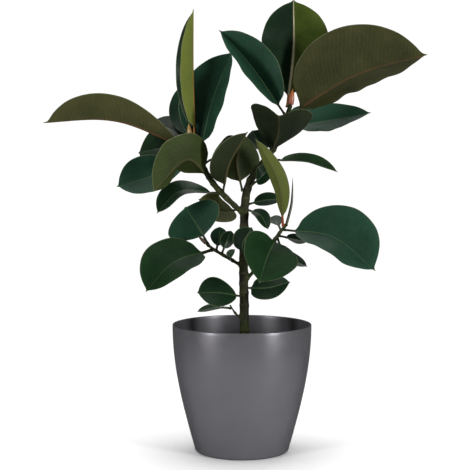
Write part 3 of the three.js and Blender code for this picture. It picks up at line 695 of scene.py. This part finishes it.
def arc(radius, height, size, start, end, steps=6):
    """Points of a quarter circle in a profile, between two angles in degrees."""
    angle = np.radians(np.linspace(start, end, steps))
    return list(zip(radius + size * np.cos(angle), height + size * np.sin(angle)))


def spread_of(node):
    """Distance from the upright axis, and height, of each point of a CAD node."""
    points, _ = merged(node)
    return np.hypot(points[:, 0], points[:, 1]), points[:, 2]


def planter():
    """The cover pot. Its outside is the CAD's own curve: the foot's radius, and on top of that the rest up
    to the rim's as a quarter sine wave of the height. The foot's edge is a quarter circle, the rim a small
    round bead, and the inside the same curve one wall in, down to a flat floor."""
    radius, z = spread_of("planter")
    low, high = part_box("planter")
    bead, foot, wall, base = 1.2 * MM, 6 * MM, 3 * MM, 4 * MM
    rim, height = radius.max(), high.z - low.z
    shoulder = radius[np.abs(z - low.z - foot) < SAME].max()
    risen = math.sin(math.pi / 2 * foot / height)
    narrow = (shoulder - rim * risen) / (1 - risen)

    def side(z):
        return narrow + (rim - narrow) * np.sin(np.pi / 2 * (z - low.z) / height)

    outer = np.linspace(low.z + foot, high.z - bead, 44)
    inner = np.linspace(high.z - bead, low.z + base + 2 * MM, 44)
    profile = [(0, low.z), *arc(side(outer[0]) - foot, low.z + foot, foot, -90, 0, 8)[:-1]]
    profile += [*zip(side(outer), outer)]
    profile += arc(side(outer[-1]) - bead, high.z - bead, bead, 0, 90)[1:]
    profile += arc(side(outer[-1]) - wall + bead, high.z - bead, bead, 90, 180)
    profile += [*zip(side(inner[1:]) - wall, inner[1:])]
    profile += [(side(inner[-1]) - wall - 2 * MM, low.z + base), (0, low.z + base)]
    turned("planter-shell", "planter", profile, PLANTER_SEGMENTS, FINISHES["planter"])


planter()


def nursery_pot():
    """The thin pot inside: straight tapered walls from a chamfered foot to a lip that is rolled outwards,
    with shallow mould rings below the lip, a small sine wave of the height that fades in."""
    radius, level = spread_of("nursery_pot")
    low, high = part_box("nursery_pot")
    at_top, at_foot = (radius[np.abs(level - z) < SAME] for z in (high.z, low.z))
    lip, foot, wall, roll = at_top.max(), at_foot.max() + 2 * MM, 1.6 * MM, 4 * MM
    top = lip - roll
    z = np.linspace(low.z + 2 * MM, high.z - 10 * MM, 40)
    straight = foot + (top - foot) * (z - low.z) / (high.z - low.z)
    rings = 0.25 * MM * np.sin(z / 0.012 * 2 * np.pi) * step(z, high.z - 60 * MM, high.z - 40 * MM)
    profile = [(0, low.z), (foot - 2 * MM, low.z), *zip(straight + rings - 0.25 * MM, z)]
    profile += arc(lip - 1 * MM, high.z - 9.2 * MM, 0.8 * MM, -90, 0, 4)
    profile += arc(lip - 1.2 * MM, high.z - 1.2 * MM, 1.2 * MM, 0, 90, 5)
    profile += arc(top - 0.8 * MM, high.z - 0.8 * MM, 0.8 * MM, 90, 180, 4)
    profile += [*zip(straight[::-1] - wall, z[::-1])]
    profile += [(foot - 4 * MM, low.z + 2 * MM), (0, low.z + 2 * MM)]
    turned("nursery-shell", "nursery_pot", profile, NURSERY_SEGMENTS,
           FINISHES["nursery_pot"])


def ripples(x, y, scale, seed, waves=26):
    """Lumpy height, mostly between -1 and 1: the sum of many sine waves of random heading and length."""
    random = np.random.default_rng(seed)
    heading, length, shift = (random.uniform(0, 2 * np.pi, waves), random.uniform(0.6, 2.4, waves) * scale,
                              random.uniform(0, 2 * np.pi, waves))
    across = np.multiply.outer(x, np.cos(heading)) + np.multiply.outer(y, np.sin(heading))
    phase = across / length * 2 * np.pi
    return np.sin(phase + shift).sum(-1) / math.sqrt(waves)


def soil():
    """The soil: a low dome, its edge rounded down, whose height carries two sizes of lumps, over the plain
    tapered plug; and some hundreds of loose crumbs on it, each a twenty-faced ball pulled out of shape."""
    radius, level = spread_of("potting_soil")
    low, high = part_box("potting_soil")
    foot = radius[level < low.z + SAME].max()
    edge, crown = radius.max() - 1.5 * MM, 4 * MM
    shoulder = high.z - crown

    def height(r, x, y):
        dome = shoulder + crown * (1 - (r / edge) ** 2) - 2.2 * MM * step(r, edge * 0.86, edge)
        return dome + 0.9 * MM * ripples(x, y, 0.022, 3) + 0.5 * MM * ripples(x, y, 0.006, 5)

    r = edge * np.linspace(1, 0, SOIL_RINGS, endpoint=False)[:, None]
    angle = np.linspace(0, 2 * np.pi, SOIL_SEGMENTS, endpoint=False)
    x, y = r * np.cos(angle), r * np.sin(angle)
    top = np.stack([x, y, height(r, x, y)], -1)
    wall = [(foot, low.z), (foot + (edge - foot) * 0.96, shoulder - 6 * MM)]
    side = np.array([[[a * np.cos(t), a * np.sin(t), z] for t in angle] for a, z in wall])
    skin = np.concatenate([side, top])
    middle = np.array([[0, 0, low.z], [0, 0, height(0, np.array(0.0), np.array(0.0))]])
    count = len(skin) * SOIL_SEGMENTS
    faces = grid_faces(len(skin), SOIL_SEGMENTS).tolist()
    faces += [face[1::-1] + face[2:] for face in fan_faces(0, SOIL_SEGMENTS, count)]
    faces += fan_faces(count - SOIL_SEGMENTS, SOIL_SEGMENTS, count + 1)
    piece("soil-bed", "potting_soil", np.concatenate([skin.reshape(-1, 3), middle]), faces,
          FINISHES["potting_soil"])
    random = np.random.default_rng(11)
    ball = bmesh.new()
    bmesh.ops.create_icosphere(ball, subdivisions=1, radius=1.0)
    corners = np.array([v.co for v in ball.verts])
    sides = np.array([[v.index for v in f.verts] for f in ball.faces])
    ball.free()
    far, turn = edge * 0.95 * np.sqrt(random.uniform(0.02, 1, CRUMBS)), random.uniform(0, 2 * np.pi, CRUMBS)
    x, y = far * np.cos(turn), far * np.sin(turn)
    size = MM * random.uniform(0.5, 1.9, (CRUMBS, 1, 1)) * random.uniform(0.6, 1.3, (CRUMBS, 1, 3))
    shape = corners[None] * size * random.uniform(0.75, 1.2, (CRUMBS, len(corners), 1))
    place = np.stack([x, y, height(far, x, y) + 0.3 * MM], -1)
    lumps = (shape + place[:, None]).reshape(-1, 3)
    faces = (sides[None] + np.arange(CRUMBS)[:, None, None] * len(corners)).reshape(-1, 3)
    piece("soil-crumbs", "potting_soil", lumps, faces.tolist(), CRUMB_FINISH)


nursery_pot()
soil()

# ---------------------------------------------------------------- floor
FLOOR = 0.75
floor_mesh = bpy.data.meshes.new("floor")
circle = np.linspace(0, 2 * np.pi, 96, endpoint=False)
rim = np.stack([FLOOR * np.cos(circle), FLOOR * np.sin(circle), 0 * circle], -1)
floor_mesh.from_pydata(rim.tolist(), [], [range(len(rim))])
floor = bpy.data.objects.new("floor", floor_mesh)
bpy.context.scene.collection.objects.link(floor)
pale = Finish("pale studio floor", Roughness=0.8, Emission_Strength=0.04, Emission_Color=(1, 1, 1, 1))
pale.feed("Base Color", pale.place.noise(1.5, 2).to(0.3, 0.7).blend((0.90, 0.90, 0.90), (0.93, 0.93, 0.93)))
floor_mesh.materials.append(pale.material)
